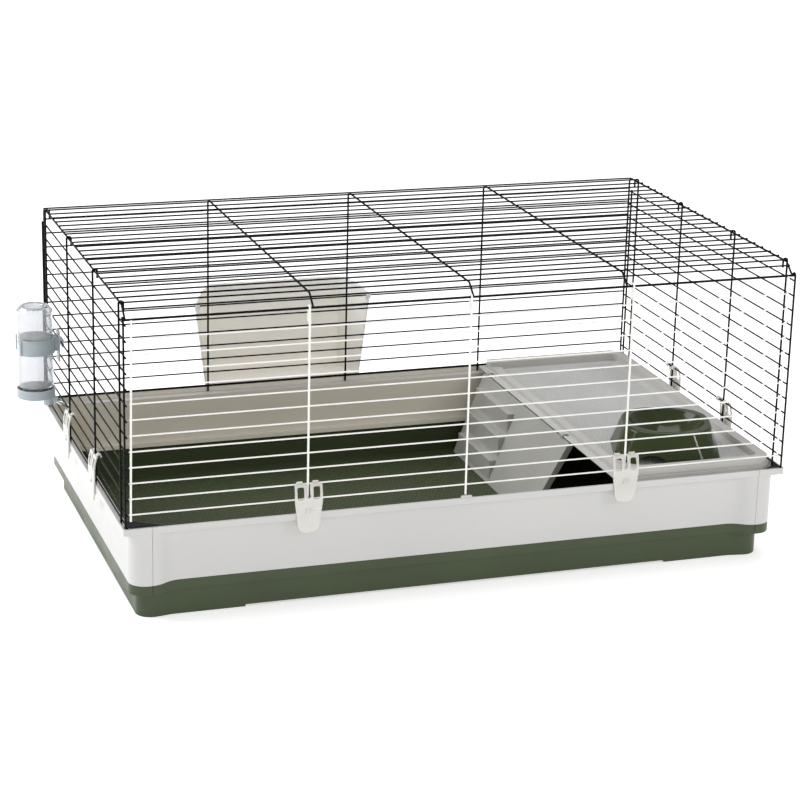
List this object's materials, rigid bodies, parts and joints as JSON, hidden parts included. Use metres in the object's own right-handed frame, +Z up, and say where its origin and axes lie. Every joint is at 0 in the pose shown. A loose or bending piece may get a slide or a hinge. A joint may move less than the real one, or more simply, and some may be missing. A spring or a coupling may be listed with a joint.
{
  "type": "wire rabbit cage with plastic base",
  "caption": "Long indoor rabbit cage: wire roof and sides over a two-tone plastic base, hinged wire front, platform with ladder, bowl, hay rack and side-mounted drinker",
  "frame": {"origin": "centre of the base's underside, on the floor", "axes": "+X along the length to the end with the platform, +Y to the back where the hay rack hangs, +Z up"},
  "size_m": [1.0661, 0.6591, 0.4553],
  "materials": {
    "tray_green": "satin moulded polypropylene, olive green",
    "wall_white": "satin moulded polypropylene, off-white",
    "wire_black": "black powder-coated steel wire",
    "wire_ivory": "ivory powder-coated steel wire",
    "clip_ivory": "glossy milky translucent plastic",
    "platform_grey": "pale grey moulded plastic with a fine woven grain on the floor",
    "ladder_grey": "milky grey moulded plastic",
    "bowl_green": "glossy dark olive plastic",
    "rack_taupe": "satin moulded plastic, beige-taupe",
    "bottle_clear": "clear blown plastic",
    "drinker_grey": "satin moulded plastic, grey-blue",
    "washer_rubber": "soft black rubber",
    "tube_steel": "brushed stainless steel",
    "ball_steel": "polished stainless steel"
  },
  "bodies": {
    "cage": {"tray": "tray_green", "wall_front": "wall_white", "wall_back": "wall_white", "wall_left": "wall_white", "wall_right": "wall_white", "roof_grille": "wire_black", "back_grille": "wire_black", "side_grille_left": "wire_black", "side_grille_right": "wire_black"},
    "door": {"front_door": "wire_ivory"},
    "clip_front_left": {"clip_front_left": "clip_ivory"},
    "clip_front_right": {"clip_front_right": "clip_ivory"},
    "clip_left_back": {"clip_left_back": "clip_ivory"},
    "clip_left_front": {"clip_left_front": "clip_ivory"},
    "clip_right_back": {"clip_right_back": "clip_ivory"},
    "clip_right_front": {"clip_right_front": "clip_ivory"},
    "platform": {"platform": "platform_grey"},
    "ladder": {"ladder": "ladder_grey"},
    "bowl": {"bowl": "bowl_green"},
    "hay_rack": {"hay_rack": "rack_taupe"},
    "drinker": {"bottle_holder": "drinker_grey", "bottle_cap": "drinker_grey", "cap_washer": "washer_rubber", "drinking_tube": "tube_steel"},
    "bottle": {"bottle": "bottle_clear"},
    "valve_ball": {"valve_ball": "ball_steel"}
  },
  "joints": [
    {"name": "door_hinge", "type": "hinge", "parent": "cage", "child": "door", "pos_m": [0, -0.2922, 0.4344], "axis": [-1, 0, 0], "range_deg": [0, 198]},
    {"name": "clip_front_left_swing", "type": "hinge", "parent": "door", "child": "clip_front_left", "pos_m": [-0.2379, -0.2935, 0.1812], "axis": [-1, 0, 0], "range_deg": [0, 100]},
    {"name": "clip_front_right_swing", "type": "hinge", "parent": "door", "child": "clip_front_right", "pos_m": [0.2413, -0.2935, 0.1812], "axis": [-1, 0, 0], "range_deg": [0, 100]},
    {"name": "clip_left_back_swing", "type": "hinge", "parent": "cage", "child": "clip_left_back", "pos_m": [-0.4935, 0.0946, 0.1812], "axis": [0, 1, 0], "range_deg": [0, 100]},
    {"name": "clip_left_front_swing", "type": "hinge", "parent": "cage", "child": "clip_left_front", "pos_m": [-0.4935, -0.0953, 0.1812], "axis": [0, 1, 0], "range_deg": [0, 100]},
    {"name": "clip_right_back_swing", "type": "hinge", "parent": "cage", "child": "clip_right_back", "pos_m": [0.4935, 0.0946, 0.1812], "axis": [0, -1, 0], "range_deg": [0, 100]},
    {"name": "clip_right_front_swing", "type": "hinge", "parent": "cage", "child": "clip_right_front", "pos_m": [0.4935, -0.0953, 0.1812], "axis": [0, -1, 0], "range_deg": [0, 100]},
    {"name": "platform_lift", "type": "slide", "parent": "cage", "child": "platform", "axis": [0, 0, 1], "range_m": [0, 0.05]},
    {"name": "ladder_hinge", "type": "hinge", "parent": "platform", "child": "ladder", "pos_m": [0.2333, 0.077, 0.1421], "axis": [0, 1, 0], "range_deg": [0, 95]},
    {"name": "bowl_lift", "type": "slide", "parent": "platform", "child": "bowl", "axis": [0, 0, 1], "range_m": [0, 0.1]},
    {"name": "hay_rack_lift", "type": "slide", "parent": "cage", "child": "hay_rack", "axis": [0, 0, 1], "range_m": [0, 0.015]},
    {"name": "drinker_lift", "type": "slide", "parent": "cage", "child": "drinker", "axis": [0, 0, 1], "range_m": [0, 0.0025]},
    {"name": "bottle_turn", "type": "hinge", "parent": "drinker", "child": "bottle", "pos_m": [-0.5318, 0.177, 0.26], "axis": [0, 0, 1], "range_deg": [0, 360]},
    {"name": "ball_push", "type": "slide", "parent": "drinker", "child": "valve_ball", "axis": [-0.8704, 0, 0.4924], "range_m": [0, 0.0012]}
  ]
}
